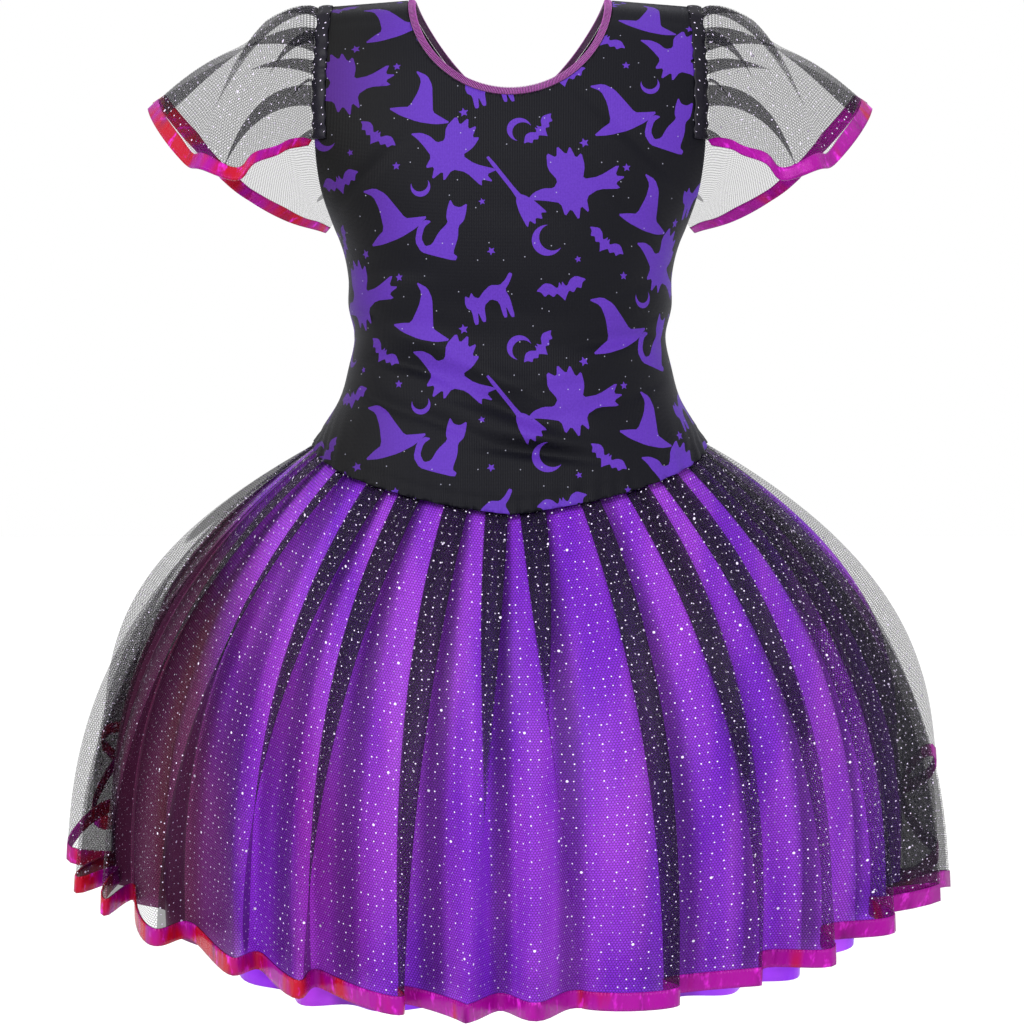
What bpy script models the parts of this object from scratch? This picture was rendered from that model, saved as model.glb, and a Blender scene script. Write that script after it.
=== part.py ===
"""A child's witch dress, filled out as worn but with no wearer: printed bodice, net sleeves, gathered net skirt.

Metres, +Z up. The dress faces -Y. The origin lies midway between the two neck points, level with them.
"""

import math

import bpy
import numpy as np

# Wall thicknesses
KNIT = 0.0012
NET = 0.0010
SATIN = 0.0010
RIBBON = 0.0016
OVERLOCK = 0.0014
BAND = 0.0012

# The gaps that part two pieces at a seam: flat, and where two walls lean towards each other
SEAM_GAP = 0.0003
LEANING_GAP = 0.0013

# How square the body's cross-section is: 2 is an ellipse
SQUARENESS = 2.4

# The body that the bodice is cut for. The bodice's own edge is the armhole above the underarm
FORM_COLUMNS = ("height", "half_width", "bodice_half_width", "front_depth", "back_depth")
FORM = (
    (0.000, 0.1500, 0.1275, 0.0000, 0.0000),
    (-0.006, 0.1500, 0.1280, 0.0160, 0.0180),
    (-0.018, 0.1500, 0.1285, 0.0310, 0.0340),
    (-0.040, 0.1510, 0.1290, 0.0470, 0.0510),
    (-0.070, 0.1510, 0.1295, 0.0600, 0.0640),
    (-0.100, 0.1470, 0.1285, 0.0700, 0.0730),
    (-0.130, 0.1340, 0.1250, 0.0760, 0.0770),
    (-0.157, 0.1170, 0.1170, 0.0790, 0.0770),
    (-0.187, 0.1090, 0.1090, 0.0800, 0.0730),
    (-0.206, 0.1090, 0.1090, 0.0790, 0.0690),
    (-0.226, 0.1050, 0.1050, 0.0770, 0.0670),
    (-0.247, 0.1090, 0.1090, 0.0800, 0.0700),
    (-0.268, 0.1150, 0.1150, 0.0860, 0.0770),
    (-0.288, 0.1270, 0.1270, 0.0920, 0.0870),
    (-0.312, 0.1420, 0.1420, 0.1000, 0.0990),
    (-0.345, 0.1560, 0.1560, 0.1090, 0.1100),
)
UNDERARM = -0.157
SHOULDER_SLOPE = 0.08
SHOULDER_SLOPE_REACH = 0.060

# Necklines: half the width between the neck points, the depths, and how squarely each curve leaves
# its lowest point and its shoulder
NECK_HALF_WIDTH = 0.0640
NECK_FRONT_DEPTH = 0.0670
NECK_BACK_DEPTH = 0.0620
NECK_FRONT_CURVE = (2.0, 2.0)
NECK_BACK_CURVE = (1.6, 1.1)
NECK_EDGE_WIDTH = 0.0042
NECK_SEAM_GAP = 0.0005

# The seam between bodice and skirt is highest at the sides and comes to a soft point in front
SEAM_SIDE_HEIGHT = -0.296
SEAM_FRONT_DIP = 0.040
SEAM_BACK_DIP = 0.020
SEAM_POINT_DIP = 0.006
SEAM_POINT_ANGLE = 0.35

# The largest creases of the bodice's front: arcs of a shallow trough (negative rise) or ridge
CREASE_COLUMNS = ("x", "height", "half_length", "half_width", "slope", "rise")
CREASES = (
    (-0.075, -0.246, 0.035, 0.008, -0.20, -0.0036),
    (-0.078, -0.228, 0.035, 0.008, -0.10, 0.0030),
    (-0.030, -0.262, 0.050, 0.009, -0.45, -0.0032),
    (-0.020, -0.246, 0.055, 0.010, -0.45, 0.0026),
    (0.018, -0.304, 0.036, 0.008, -0.12, -0.0040),
    (0.022, -0.288, 0.036, 0.010, -0.15, 0.0030),
    (0.074, -0.230, 0.034, 0.008, 0.12, -0.0038),
    (0.070, -0.250, 0.034, 0.009, 0.20, 0.0030),
    (-0.085, -0.184, 0.028, 0.012, -0.10, -0.0032),
)

# The skirt, whose hem is lower in front than at the sides
HEM_HALF_WIDTH = 0.281
HEM_FRONT_DEPTH = 0.247
HEM_BACK_DEPTH = 0.240
HEM_SIDE_HEIGHT = -0.580
HEM_FRONT_DROP = 0.046
SKIRT_DOME = 2.5
SKIRT_ROW_POWER = 1.4
SKIRT_TUCK = 0.006
RIBBON_WIDTH = 0.010
LINING_EXTRA = 0.014

# The gathers: shallow at the waist seam, opening into uneven flutes at the hem
PLEATS = 32
PLEAT_TOP_DEPTH = 0.0026
PLEAT_HEM_DEPTH = 0.0280
PLEAT_VARIETY = 0.35
PLEAT_WANDER = 0.18
PLEAT_OPENING = 0.8
LINING_DEPTH_SHARE = 0.6
NET_TOP_CLEARANCE = 0.0053
LINING_TOP_CLEARANCE = 0.0082
LINING_HEM_CLEARANCE = 0.0080

# Flutter sleeves, gathered in from the front of the armhole over the shoulder to the underarm behind
SLEEVE_FRONT_END = 0.098
SLEEVE_BACK_END = 0.148
SLEEVE_ROOT_GAP = 0.0013
ARMHOLE_BAND_WIDTH = 0.0090
ARMHOLE_BAND_MEASURED_AT = -0.050
SLEEVE_PUFF = 0.013
SLEEVE_RIBBON_SHARE = 0.095
SLEEVE_RIBBON_GAP_SHARE = 0.008
SLEEVE_FLUTES = 6
SLEEVE_FLUTE_RISE = 0.0045
SLEEVE_HEM_COLUMNS = ("share", "out", "back", "height")
SLEEVE_HEM = (
    (0.00, 0.1310, -0.0530, -0.1030),
    (0.12, 0.1510, -0.0760, -0.1120),
    (0.25, 0.1780, -0.0880, -0.1280),
    (0.36, 0.2080, -0.0740, -0.1180),
    (0.46, 0.2340, -0.0350, -0.0880),
    (0.53, 0.2420, 0.0020, -0.0680),
    (0.62, 0.2290, 0.0420, -0.0840),
    (0.74, 0.1980, 0.0720, -0.1180),
    (0.87, 0.1610, 0.0680, -0.1410),
    (1.00, 0.1275, 0.0380, -0.1530),
)

# Mesh density
NECK_STEPS = 9
STRAP_STEPS = 5
BODICE_ROWS = 20
BODICE_ROW_POWER = 1.45
PLEAT_STEPS = 4
NET_ROWS = 7
LINING_PLEAT_STEPS = 3
LINING_ROWS = 5
SLEEVE_STEPS = 28
SLEEVE_ROWS = 5

# Linear red, green and blue, then roughness
LOOKS = {
    "printed_knit": ((0.012, 0.011, 0.024), 0.55),
    "magenta_thread": ((0.45, 0.03, 0.42), 0.50),
    "glitter_net": ((0.010, 0.008, 0.016), 0.60),
    "purple_satin": ((0.24, 0.035, 0.72), 0.35),
    "magenta_ribbon": ((0.55, 0.010, 0.45), 0.28),
}


def smooth_table(rows, at):
    """The other columns of a table where its first column is this value, on a smooth curve."""
    table = np.array(rows, float)
    table = table[np.argsort(table[:, 0])]
    knots, values = table[:, 0], table[:, 1:]
    slopes = np.gradient(values, knots, axis=0)
    at = min(max(at, knots[0]), knots[-1])
    index = min(max(int(np.searchsorted(knots, at)) - 1, 0), len(knots) - 2)
    span = knots[index + 1] - knots[index]
    share = (at - knots[index]) / span
    rest = 1 - share
    ends = values[index] * (1 + 2 * share) * rest**2 + values[index + 1] * (1 + 2 * rest) * share**2
    return ends + span * share * rest * (slopes[index] * rest - slopes[index + 1] * share)


def form_at(height):
    return dict(zip(FORM_COLUMNS[1:], smooth_table(FORM, height)))


def unit_section(angle):
    """A point of the rounded-square section of half size 1, at an angle from straight ahead."""
    across, ahead = math.sin(angle), math.cos(angle)
    reach = (abs(across) ** SQUARENESS + abs(ahead) ** SQUARENESS) ** (-1 / SQUARENESS)
    return across * reach, ahead * reach


def section_angle(share):
    """The angle at which the unit section reaches this share of its half width."""
    share = min(share, 1.0)
    return math.atan2(share, (1 - share**SQUARENESS) ** (1 / SQUARENESS))


def crease_rise(x, height):
    """How far the creases move a point of the bodice's front outwards."""
    total = 0.0
    for row in CREASES:
        crease = dict(zip(CREASE_COLUMNS, row))
        aside = x - crease["x"]
        above = height - crease["height"] - crease["slope"] * aside
        distance = (aside / crease["half_length"]) ** 2 + (above / crease["half_width"]) ** 2
        total += crease["rise"] * math.exp(-distance)
    return total


def form_point(angle, height, back):
    """A point of the worn bodice: angle 0 is the middle of the front or of the back."""
    form = form_at(height)
    across, ahead = unit_section(angle)
    x = form["half_width"] * across
    depth = form["back_depth"] if back else form["front_depth"] + crease_rise(x, height)
    depth = max(depth * ahead, LEANING_GAP / 2)
    sloped = max(abs(x) - NECK_HALF_WIDTH, 0.0) * max(1 + height / SHOULDER_SLOPE_REACH, 0.0)
    return np.array((x, depth if back else -depth, height - SHOULDER_SLOPE * sloped))


def panel_point(x, height, back):
    angle = section_angle(abs(x) / form_at(height)["half_width"])
    return form_point(math.copysign(angle, x), height, back)


def edge_angle(height):
    """The angle of a panel's edge: the armhole down to the underarm, then the side seam."""
    form = form_at(height)
    if height <= UNDERARM:
        return math.pi / 2
    return section_angle(form["bodice_half_width"] / form["half_width"])


def neck_outline(back, steps, widened):
    """Points (x, height) of half a neckline, evenly spaced from its lowest point to the shoulder."""
    half_width = NECK_HALF_WIDTH + widened
    depth = (NECK_BACK_DEPTH if back else NECK_FRONT_DEPTH) + widened
    low_curve, shoulder_curve = NECK_BACK_CURVE if back else NECK_FRONT_CURVE
    turn = np.linspace(0, math.pi / 2, 200)
    x = half_width * np.sin(turn) ** (2 / low_curve)
    height = -depth * np.cos(turn) ** (2 / shoulder_curve)
    walked = np.concatenate([[0], np.cumsum(np.hypot(np.diff(x), np.diff(height)))])
    stops = np.linspace(0, walked[-1], steps + 1)
    return np.interp(stops, walked, x), np.interp(stops, walked, height)


def both_sides(x, height):
    """Half an outline, and its mirror image before it."""
    return np.concatenate([-x[:0:-1], x]), np.concatenate([height[:0:-1], height])


def seam_height(angle, back):
    """The height of the skirt seam at an angle from the middle of the front or back."""
    facing = math.cos(angle) ** 2
    if back:
        return SEAM_SIDE_HEIGHT - SEAM_BACK_DIP * facing
    point = SEAM_POINT_DIP * math.exp(-abs(angle) / SEAM_POINT_ANGLE)
    return SEAM_SIDE_HEIGHT - SEAM_FRONT_DIP * facing - point


def add_material(name):
    colour, roughness = LOOKS[name]
    material = bpy.data.materials.get(name) or bpy.data.materials.new(name)
    material.use_nodes = True
    shader = material.node_tree.nodes["Principled BSDF"]
    shader.inputs["Base Color"].default_value = (*colour, 1.0)
    shader.inputs["Roughness"].default_value = roughness
    shader.inputs["Metallic"].default_value = 0.0
    return material


def add_wall(name, rows, thickness, look, lifted=None):
    """A wall of cloth from rows of points that face outwards, read down and from right to left.

    The points are its outer face, or with a lift they are what its inner face lies over.
    """
    columns = len(rows[0])
    points = [tuple(point) for row in rows for point in row]
    corners = [(0, 0), (0, 1), (1, 1), (1, 0)]
    faces = [
        [(row + down) * columns + column + along for down, along in corners]
        for row in range(len(rows) - 1)
        for column in range(columns - 1)
    ]
    mesh = bpy.data.meshes.new(name)
    mesh.from_pydata(points, [], faces)
    mesh.shade_smooth()
    wall = bpy.data.objects.new(name, mesh)
    wall.data.materials.append(add_material(look))
    bpy.data.collections["witch_costume"].objects.link(wall)
    solidify = wall.modifiers.new("thickness", "SOLIDIFY")
    solidify.thickness = thickness
    solidify.use_even_offset = True
    solidify.offset = -1.0 if lifted is None else 1.0 + 2 * lifted / thickness


def facing_out(rows, back):
    """Rows made from left to right, turned round where they lie on the front."""
    return rows if back else [row[::-1] for row in rows]


def mirrored(rows, side):
    """Rows of a right-hand piece, mirrored for the left and still facing out."""
    if side > 0:
        return rows
    flip = np.array((-1, 1, 1))
    return [[point * flip for point in row[::-1]] for row in rows]


def band_share():
    """How far from the middle to the panel's edge the armhole band begins."""
    form = form_at(ARMHOLE_BAND_MEASURED_AT)
    inner = (form["bodice_half_width"] - ARMHOLE_BAND_WIDTH) / form["half_width"]
    return section_angle(inner) / edge_angle(ARMHOLE_BAND_MEASURED_AT)


def panel_columns(back):
    """Each column's share of the way from the middle to the panel's edge, and the height it starts at."""
    x, height = neck_outline(back, NECK_STEPS, NECK_EDGE_WIDTH + NECK_SEAM_GAP)
    shares = [
        section_angle(across / form_at(top)["half_width"]) / edge_angle(top) for across, top in zip(x, height)
    ]
    strap = np.linspace(shares[-1], band_share(), STRAP_STEPS)[1:]
    return both_sides(np.array([*shares, *strap, 1.0]), np.array([*height, *[0.0] * STRAP_STEPS]))


def panel_rows(back):
    """The outer face of the front or back of the bodice, from left to right and down."""
    shares, tops = panel_columns(back)
    rows = []
    for down in np.linspace(0, 1, BODICE_ROWS + 1) ** BODICE_ROW_POWER:
        row = []
        for share, top in zip(shares, tops):
            bottom = seam_height(share * math.pi / 2, back)
            height = top + (bottom - top) * down
            row.append(form_point(share * edge_angle(height), height, back))
        rows.append(row)
    return rows


def neck_edge_rows(back):
    """The overlocked edge, between the neckline and the panel's top edge."""
    rows = []
    for widened in (0.0, NECK_EDGE_WIDTH):
        x, height = both_sides(*neck_outline(back, NECK_STEPS, widened))
        rows.append([panel_point(*place, back) for place in zip(x, height)])
    return rows


def armhole_band_rows(front_rows, back_rows, columns):
    """The strip of each panel between two columns, up the front, over the shoulder and down behind."""
    front = [[row[column] for column in columns] for row in front_rows[1:]]
    behind = [[row[column] for column in columns] for row in back_rows[1:]]
    shoulder = [front_rows[0][column] * (1, 0, 1) for column in columns]
    front = [row for row in front if row[0][2] > -SLEEVE_FRONT_END]
    behind = [row for row in behind if row[0][2] > -SLEEVE_BACK_END]
    return [*front[::-1], shoulder, *behind]


def armhole_root(share):
    """A point just outside the right armhole, at a share of the way along the sleeve's seam."""
    walked = (SLEEVE_FRONT_END + SLEEVE_BACK_END) * share - SLEEVE_FRONT_END
    height, back = -abs(walked), walked > 0
    edge = panel_point(form_at(height)["bodice_half_width"], height, back)
    return edge + np.array((SLEEVE_ROOT_GAP, 0, 0))


def sleeve_point(share, down):
    """A point of the right sleeve: share runs along the seam, down runs from there to the hem."""
    root = armhole_root(share)
    edge = dict(zip(SLEEVE_HEM_COLUMNS[1:], smooth_table(SLEEVE_HEM, share)))
    hem = np.array((edge["out"], edge["back"], edge["height"]))
    turn = math.pi * share
    outward = np.array((0.55, -0.75 * math.cos(turn), 0.75 * math.sin(turn)))
    puff = SLEEVE_PUFF * math.sin(math.pi * down) * math.sin(turn) ** 0.6
    flute = SLEEVE_FLUTE_RISE * down * math.sin(turn) * math.cos(2 * SLEEVE_FLUTES * turn)
    return root + (hem - root) * down + outward * (puff + flute)


def sleeve_rows(start, end, count):
    shares = np.linspace(1, 0, SLEEVE_STEPS + 1)
    return [[sleeve_point(share, down) for share in shares] for down in np.linspace(start, end, count)]


def pleat_start(number):
    """Where a pleat begins, as a share of the way round; those at the side seams stay in place."""
    at_side_seam = number % (PLEATS // 2) == PLEATS // 4
    wander = 0.0 if at_side_seam else PLEAT_WANDER * math.sin(2.4 * (number % PLEATS))
    return (number + wander) / PLEATS


def pleat_depth(number, down):
    """How deep a pleat is, from its valley to its crest."""
    hem_depth = PLEAT_HEM_DEPTH * (1 + PLEAT_VARIETY * math.sin(1.7 * (number % PLEATS) + 0.6))
    return PLEAT_TOP_DEPTH + (hem_depth - PLEAT_TOP_DEPTH) * max(down, 0.0) ** PLEAT_OPENING


def skirt_point(turn, fall):
    """A point of the skirt's even outline, and the way out from it; turn 0 is the middle of the front."""
    angle = 2 * math.pi * turn
    back = math.cos(angle) < 0
    own_angle = math.pi - angle if back else angle
    top = form_point(own_angle, seam_height(own_angle, back), back)
    hem_height = HEM_SIDE_HEIGHT - (0.0 if back else HEM_FRONT_DROP * math.cos(angle) ** 2)
    depth = HEM_BACK_DEPTH if back else HEM_FRONT_DEPTH
    outward = np.array((math.sin(angle), -math.cos(angle), 0.0))
    hem = outward * (HEM_HALF_WIDTH, depth, 0) + np.array((0, 0, hem_height))
    out = 1 - max(1 - fall, 0.0) ** SKIRT_DOME
    return top + (hem - top) * (out, out, fall), outward


def skirt_rows(back, falls, steps, depth_share, top_clearance, hem_clearance):
    """Rows of gathered cloth for half the skirt, from its left side seam, seen from outside, to the right."""
    first = PLEATS // 4 if back else -PLEATS // 4
    # The points straddle each valley and crest, so both come out flat, and each end is at its seam
    places = [divmod(place + 0.5, steps) for place in range(PLEATS // 2 * steps - 1, -1, -1)]
    places = [(PLEATS // 2, 0), *places, (0, 0)]
    rows = []
    for fall in falls:
        row = []
        for pleat, step in places:
            number, within = first + int(pleat), step / steps
            start, end = pleat_start(number), pleat_start(number + 1)
            wave = (1 - math.cos(2 * math.pi * within)) / 2 * pleat_depth(number, fall) * depth_share
            clearance = top_clearance + (hem_clearance - top_clearance) * max(fall, 0.0)
            point, outward = skirt_point(start + (end - start) * within, fall)
            row.append(point + outward * (wave - clearance))
        to_seam = np.array((0, SEAM_GAP / 2 if back else -SEAM_GAP / 2, 0))
        row[0] = row[0] + to_seam
        row[-1] = row[-1] + to_seam
        rows.append(row)
    return rows


def falls_between(start, end, count):
    """Shares of the way down the skirt, closer together where its outline turns over the hip."""
    low, high = max(start, 0.0) ** (1 / SKIRT_ROW_POWER), end ** (1 / SKIRT_ROW_POWER)
    falls = np.linspace(low, high, count) ** SKIRT_ROW_POWER
    return falls if start >= 0 else [start, *falls]


def add_skirt_half(half, back):
    drop = SEAM_SIDE_HEIGHT - HEM_SIDE_HEIGHT
    tuck, ribbon_start = -SKIRT_TUCK / drop, 1 - RIBBON_WIDTH / drop
    hem_clearance = PLEAT_HEM_DEPTH / 2
    gathered = (PLEAT_STEPS, 1.0, NET_TOP_CLEARANCE, hem_clearance)
    net = skirt_rows(back, falls_between(tuck, ribbon_start - SEAM_GAP / drop, NET_ROWS), *gathered)
    add_wall(f"net_skirt_{half}", net, NET, "glitter_net")
    ribbon = skirt_rows(back, (ribbon_start, 1.0), *gathered)
    add_wall(f"hem_ribbon_{half}", ribbon, RIBBON, "magenta_ribbon")
    lining = skirt_rows(
        back,
        falls_between(tuck, 1 + LINING_EXTRA / drop, LINING_ROWS),
        LINING_PLEAT_STEPS,
        LINING_DEPTH_SHARE,
        LINING_TOP_CLEARANCE,
        hem_clearance + LINING_HEM_CLEARANCE,
    )
    add_wall(f"lining_{half}", lining, SATIN, "purple_satin")


def add_sleeve(side_name, side):
    net = sleeve_rows(0.0, 1 - SLEEVE_RIBBON_SHARE, SLEEVE_ROWS + 1)
    ribbon = sleeve_rows(1 - SLEEVE_RIBBON_SHARE + SLEEVE_RIBBON_GAP_SHARE, 1.0, 2)
    add_wall(f"sleeve_{side_name}", mirrored(net, side), NET, "glitter_net")
    add_wall(f"sleeve_ribbon_{side_name}", mirrored(ribbon, side), RIBBON, "magenta_ribbon")


def main():
    for thing in list(bpy.data.objects):
        bpy.data.objects.remove(thing)
    collection = bpy.data.collections.new("witch_costume")
    bpy.context.scene.collection.children.link(collection)
    panels = {back: panel_rows(back) for back in (False, True)}
    for half, back in (("front", False), ("back", True)):
        add_wall(f"bodice_{half}", facing_out(panels[back], back), KNIT, "printed_knit")
        add_wall(f"neck_edge_{half}", facing_out(neck_edge_rows(back), back), OVERLOCK, "magenta_thread")
        add_skirt_half(half, back)
    for side_name, side, columns in (("right", 1, (-2, -1)), ("left", -1, (0, 1))):
        add_sleeve(side_name, side)
        band = armhole_band_rows(panels[False], panels[True], columns)
        add_wall(f"armhole_band_{side_name}", band, BAND, "glitter_net", lifted=SEAM_GAP)


main()
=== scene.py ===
"""The looks of a child's witch dress: printed knit bodice, flutter sleeves and gathered skirt of glitter net.

Metres, +Z up, in the CAD model's own frame. The dress faces -Y and its origin lies between the neck points.
"""

import math

import bpy
import numpy as np
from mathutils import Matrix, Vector
from mathutils.geometry import delaunay_2d_cdt

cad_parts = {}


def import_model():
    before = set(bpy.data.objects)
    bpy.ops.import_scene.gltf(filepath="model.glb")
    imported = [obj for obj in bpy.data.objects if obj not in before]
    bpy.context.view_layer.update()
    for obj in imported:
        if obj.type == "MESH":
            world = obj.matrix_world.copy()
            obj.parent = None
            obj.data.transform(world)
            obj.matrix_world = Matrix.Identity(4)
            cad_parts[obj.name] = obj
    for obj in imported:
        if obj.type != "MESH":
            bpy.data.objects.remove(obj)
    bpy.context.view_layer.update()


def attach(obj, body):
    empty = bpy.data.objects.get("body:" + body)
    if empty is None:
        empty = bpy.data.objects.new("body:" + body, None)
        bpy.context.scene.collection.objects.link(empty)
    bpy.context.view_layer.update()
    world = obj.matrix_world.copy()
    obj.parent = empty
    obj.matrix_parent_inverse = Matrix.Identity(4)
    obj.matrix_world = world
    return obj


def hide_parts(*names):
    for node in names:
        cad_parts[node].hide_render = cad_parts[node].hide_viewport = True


# The camera: where it stands, what it looks at and the width of its view there
CAMERA_AT = (0.0013, -1.55, -0.28)
CAMERA_AIM = (0.0013, 0.0, -0.345)
VIEW_WIDTH = 0.696
SENSOR_MM = 36.0
FLOOR_HALF_WIDTH = 12.0
FLOOR_HEIGHT = -1.0
WALE_PITCH = 0.0011
COURSE_PITCH = 0.0009

# How square the body's cross-section is: 2 is an ellipse
SQUARENESS = 2.4
SEAM_HALF_GAP = 0.0004

# The body that the bodice is cut for, as in the CAD
FORM_COLUMNS = ("height", "half_width", "bodice_half_width", "front_depth", "back_depth")
FORM = (
    (0.000, 0.1500, 0.1275, 0.0000, 0.0000),
    (-0.006, 0.1500, 0.1280, 0.0160, 0.0180),
    (-0.018, 0.1500, 0.1285, 0.0310, 0.0340),
    (-0.040, 0.1510, 0.1290, 0.0470, 0.0510),
    (-0.070, 0.1510, 0.1295, 0.0600, 0.0640),
    (-0.100, 0.1470, 0.1285, 0.0700, 0.0730),
    (-0.130, 0.1340, 0.1250, 0.0760, 0.0770),
    (-0.157, 0.1170, 0.1170, 0.0790, 0.0770),
    (-0.187, 0.1090, 0.1090, 0.0800, 0.0730),
    (-0.206, 0.1090, 0.1090, 0.0790, 0.0690),
    (-0.226, 0.1050, 0.1050, 0.0770, 0.0670),
    (-0.247, 0.1090, 0.1090, 0.0800, 0.0700),
    (-0.268, 0.1150, 0.1150, 0.0860, 0.0770),
    (-0.288, 0.1270, 0.1270, 0.0920, 0.0870),
    (-0.312, 0.1420, 0.1420, 0.1000, 0.0990),
    (-0.345, 0.1560, 0.1560, 0.1090, 0.1100),
)
UNDERARM = -0.157
SHOULDER_SLOPE = 0.08
SHOULDER_SLOPE_REACH = 0.060
KNIT = 0.0012

# Necklines and the edge stitched over them
NECK_HALF_WIDTH = 0.0640
NECK_FRONT_DEPTH = 0.0670
NECK_BACK_DEPTH = 0.0620
NECK_FRONT_CURVE = (2.0, 2.0)
NECK_BACK_CURVE = (1.6, 1.1)
NECK_EDGE_WIDTH = 0.0042
STITCH_PITCH = 0.0019
STITCH_RADIUS = 0.00030

# The waist seam
SEAM_SIDE_HEIGHT = -0.296
SEAM_FRONT_DIP = 0.040
SEAM_BACK_DIP = 0.020
SEAM_POINT_DIP = 0.006
SEAM_POINT_ANGLE = 0.35

# The skirt
HEM_HALF_WIDTH = 0.281
HEM_FRONT_DEPTH = 0.247
HEM_BACK_DEPTH = 0.240
HEM_SIDE_HEIGHT = -0.580
HEM_FRONT_DROP = 0.046
SKIRT_DOME = 2.5
RIBBON_WIDTH = 0.010
LINING_EXTRA = 0.014
LINING_SHORTER = 0.012
NET_CELL = 0.0019
FIRST_PLEAT = -14

# Where the lining shows below the net: place round the skirt, and how far to each side
LINING_SEEN = ((-0.085, 0.045), (0.125, 0.070), (0.30, 0.06), (0.47, 0.05), (-0.40, 0.05))

# The net's folds across the front from left to right: how far each leans over at the waist seam, and how
# far down it would lie flat
FRONT_FOLDS = (
    (3.0, 1.6),
    (3.6, 3.0),
    (3.8, 3.4),
    (3.6, 2.6),
    (3.0, 1.5),
    (3.1, 1.9),
    (3.2, 2.3),
    (2.6, 0.9),
    (3.0, 0.55),
    (3.3, 2.3),
    (2.9, 0.95),
    (3.1, 0.85),
    (2.8, 0.60),
    (3.5, 2.6),
    (3.6, 3.0),
    (3.0, 1.6),
)
PLEATS = 32

# Flutes that ride up at the sides: place round the skirt, width of the rise, and its height
HEM_LIFTS = (
    (-0.282, 0.016, 0.078),
    (-0.246, 0.010, 0.030),
    (0.262, 0.016, 0.066),
    (0.215, 0.012, -0.006),
    (0.360, 0.020, 0.020),
    (-0.380, 0.022, 0.018),
)

# Sleeves
SLEEVE_FRONT_END = 0.098
SLEEVE_BACK_END = 0.148
SLEEVE_PUFF = 0.019
SLEEVE_PLEATS = 8
ARMHOLE_BAND_WIDTH = 0.0090

# The sleeve's folds, in FIRST_PLEAT's order: how far each leans over at the armhole, and how far it reaches
SLEEVE_FOLDS = (
    [2.0] * 14 + [1.8, 2.2, 2.6, 2.9, 2.0, 2.6, 2.2, 1.8, 2.0, 2.0] + [2.0] * 36,
    [0.6] * 14 + [0.7, 0.5, 0.8, 2.4, 0.7, 1.8, 0.6, 0.9, 0.6, 0.6] + [0.6] * 36,
)
SLEEVE_HEM = (
    (0.00, 0.1310, -0.0530, -0.1030),
    (0.12, 0.1510, -0.0760, -0.1120),
    (0.25, 0.1780, -0.0880, -0.1280),
    (0.36, 0.2080, -0.0740, -0.1180),
    (0.46, 0.2340, -0.0350, -0.0880),
    (0.53, 0.2420, 0.0020, -0.0680),
    (0.62, 0.2290, 0.0420, -0.0840),
    (0.74, 0.1980, 0.0720, -0.1180),
    (0.87, 0.1610, 0.0680, -0.1410),
    (1.00, 0.1275, 0.0380, -0.1530),
)

# Mesh density
CLOTH_GRID = 0.0024
PLEAT_COLUMNS = 30
SKIRT_ROWS = 90

# Creases of the bodice's front and back, each a soft trough (negative rise) or ridge
CREASE_STRENGTH = 1.25
CREASE_COLUMNS = ("x", "height", "half_length", "half_width", "slope", "rise")
FRONT_CREASES = (
    (-0.075, -0.246, 0.035, 0.006, -0.20, -0.0036),
    (-0.078, -0.230, 0.035, 0.007, -0.10, 0.0030),
    (-0.030, -0.262, 0.050, 0.006, -0.45, -0.0026),
    (-0.020, -0.250, 0.055, 0.007, -0.45, 0.0024),
    (0.018, -0.304, 0.036, 0.0045, -0.12, -0.0040),
    (0.022, -0.294, 0.036, 0.006, -0.15, 0.0030),
    (0.074, -0.230, 0.034, 0.005, 0.12, -0.0034),
    (0.070, -0.242, 0.034, 0.006, 0.20, 0.0026),
    (-0.085, -0.184, 0.028, 0.008, -0.10, -0.0026),
    (0.085, -0.196, 0.025, 0.005, 0.35, -0.0020),
    (-0.010, -0.276, 0.040, 0.005, -0.30, -0.0022),
    (-0.045, -0.284, 0.035, 0.005, -0.35, -0.0024),
    (0.060, -0.272, 0.030, 0.005, 0.30, -0.0022),
    (0.030, -0.255, 0.035, 0.006, 0.15, 0.0018),
    (-0.090, -0.268, 0.022, 0.005, -0.50, -0.0024),
    (0.092, -0.262, 0.020, 0.005, 0.55, -0.0024),
    (0.095, -0.215, 0.018, 0.004, 0.10, -0.0022),
    (-0.096, -0.215, 0.018, 0.004, -0.15, -0.0022),
    (-0.010, -0.210, 0.060, 0.010, -0.12, -0.0012),
    (0.020, -0.150, 0.050, 0.014, -0.20, -0.0010),
    (-0.100, -0.130, 0.030, 0.006, 0.90, -0.0020),
    (0.100, -0.120, 0.035, 0.006, -0.90, -0.0020),
    (0.085, -0.150, 0.035, 0.007, -0.80, -0.0016),
)
BACK_CREASES = (
    (-0.070, -0.238, 0.040, 0.006, 0.20, -0.0034),
    (0.070, -0.232, 0.040, 0.006, -0.15, -0.0034),
    (0.000, -0.252, 0.055, 0.006, 0.10, -0.0028),
    (-0.020, -0.270, 0.045, 0.005, 0.25, -0.0026),
    (0.035, -0.283, 0.040, 0.005, -0.20, -0.0026),
    (-0.060, -0.290, 0.030, 0.005, 0.10, -0.0022),
    (0.080, -0.208, 0.025, 0.005, -0.35, -0.0022),
    (-0.085, -0.200, 0.025, 0.005, 0.30, -0.0022),
    (0.010, -0.222, 0.060, 0.007, -0.05, 0.0020),
    (0.000, -0.170, 0.050, 0.012, 0.15, -0.0012),
    (-0.098, -0.130, 0.030, 0.006, 0.80, -0.0018),
    (0.098, -0.135, 0.030, 0.006, -0.80, -0.0018),
)


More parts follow.
